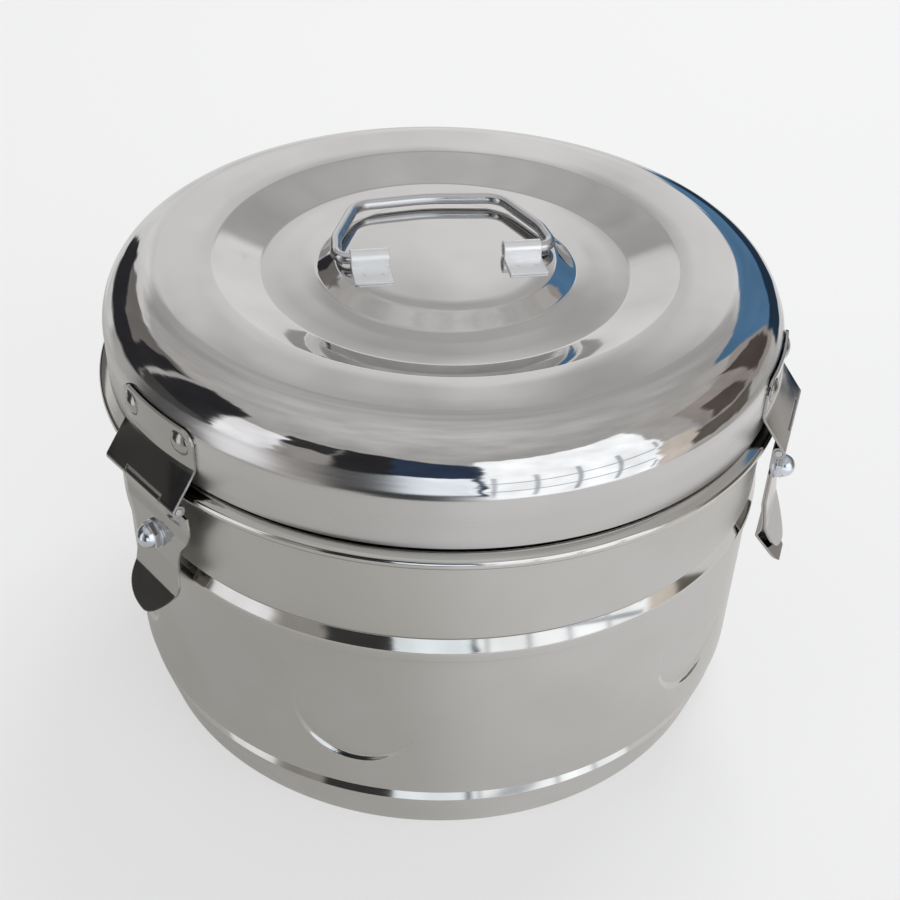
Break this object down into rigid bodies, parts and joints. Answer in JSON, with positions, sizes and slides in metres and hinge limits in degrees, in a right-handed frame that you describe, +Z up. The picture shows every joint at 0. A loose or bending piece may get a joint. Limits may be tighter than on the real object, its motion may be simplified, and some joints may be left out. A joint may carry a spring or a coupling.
{
  "type": "sterilization drum",
  "caption": "Round stainless sterilization drum with a domed lift-off lid, a folding wire handle and hinged latches that hook under the drum's bead.",
  "frame": {"origin": "middle of the face that the drum stands on, on the drum's axis", "axes": "+Z up along the drum's axis; -Y is the side that the picture faces; the latches stand at 47.75 degrees left of -Y, 71.25 right of it, and behind"},
  "size_m": [0.247, 0.2502, 0.1712],
  "materials": {
    "stainless_satin": "fine satin, polished beads",
    "stainless_polished": "mirror polished top, satin skirt",
    "latch_steel": "satin pressed sheet",
    "zinc_plated": "bright zinc plate",
    "wire_steel": "bright drawn wire",
    "silicone": "matt silicone",
    "filter_felt": "felt"
  },
  "bodies": {
    "drum": {"drum_body": "stainless_satin", "base_filter": "filter_felt", "filter_retainer": "stainless_satin", "retainer_stud": "latch_steel", "retainer_nut": "latch_steel"},
    "lid": {"lid_shell": "stainless_polished", "lid_gasket": "silicone", "handle_clip_left": "latch_steel", "handle_clip_right": "latch_steel", "left_bracket": "latch_steel", "left_rivet_a": "latch_steel", "left_rivet_b": "latch_steel", "left_hinge_pin": "wire_steel", "right_bracket": "latch_steel", "right_rivet_a": "latch_steel", "right_rivet_b": "latch_steel", "right_hinge_pin": "wire_steel", "rear_bracket": "latch_steel", "rear_rivet_a": "latch_steel", "rear_rivet_b": "latch_steel", "rear_hinge_pin": "wire_steel"},
    "bail": {"handle_bail": "wire_steel"},
    "latch_left": {"left_lever": "latch_steel", "left_claw": "latch_steel", "left_clamp_bolt": "zinc_plated", "left_bolt_washer": "zinc_plated", "left_cap_nut": "zinc_plated"},
    "latch_right": {"right_lever": "latch_steel", "right_claw": "latch_steel", "right_clamp_bolt": "zinc_plated", "right_bolt_washer": "zinc_plated", "right_cap_nut": "zinc_plated"},
    "latch_rear": {"rear_lever": "latch_steel", "rear_claw": "latch_steel", "rear_clamp_bolt": "zinc_plated", "rear_bolt_washer": "zinc_plated", "rear_cap_nut": "zinc_plated"}
  },
  "joints": [
    {"name": "lid_lift", "type": "slide", "parent": "drum", "child": "lid", "axis": [0, 0, 1], "range_m": [0, 0.12]},
    {"name": "bail_swing", "type": "hinge", "parent": "lid", "child": "bail", "pos_m": [0, -0.0055, 0.1683], "axis": [0.9823, 0.1874, 0], "range_deg": [0, 170]},
    {"name": "latch_left_swing", "type": "hinge", "parent": "lid", "child": "latch_left", "pos_m": [-0.09171, -0.08331, 0.1266], "axis": [-0.6724, 0.7402, 0], "range_deg": [-6, 130]},
    {"name": "latch_right_swing", "type": "hinge", "parent": "lid", "child": "latch_right", "pos_m": [0.11732, -0.03983, 0.1266], "axis": [-0.3214, -0.9469, 0], "range_deg": [-6, 130]},
    {"name": "latch_rear_swing", "type": "hinge", "parent": "lid", "child": "latch_rear", "pos_m": [-0.02523, 0.1213, 0.1266], "axis": [0.979, 0.2036, 0], "range_deg": [-6, 130]}
  ]
}
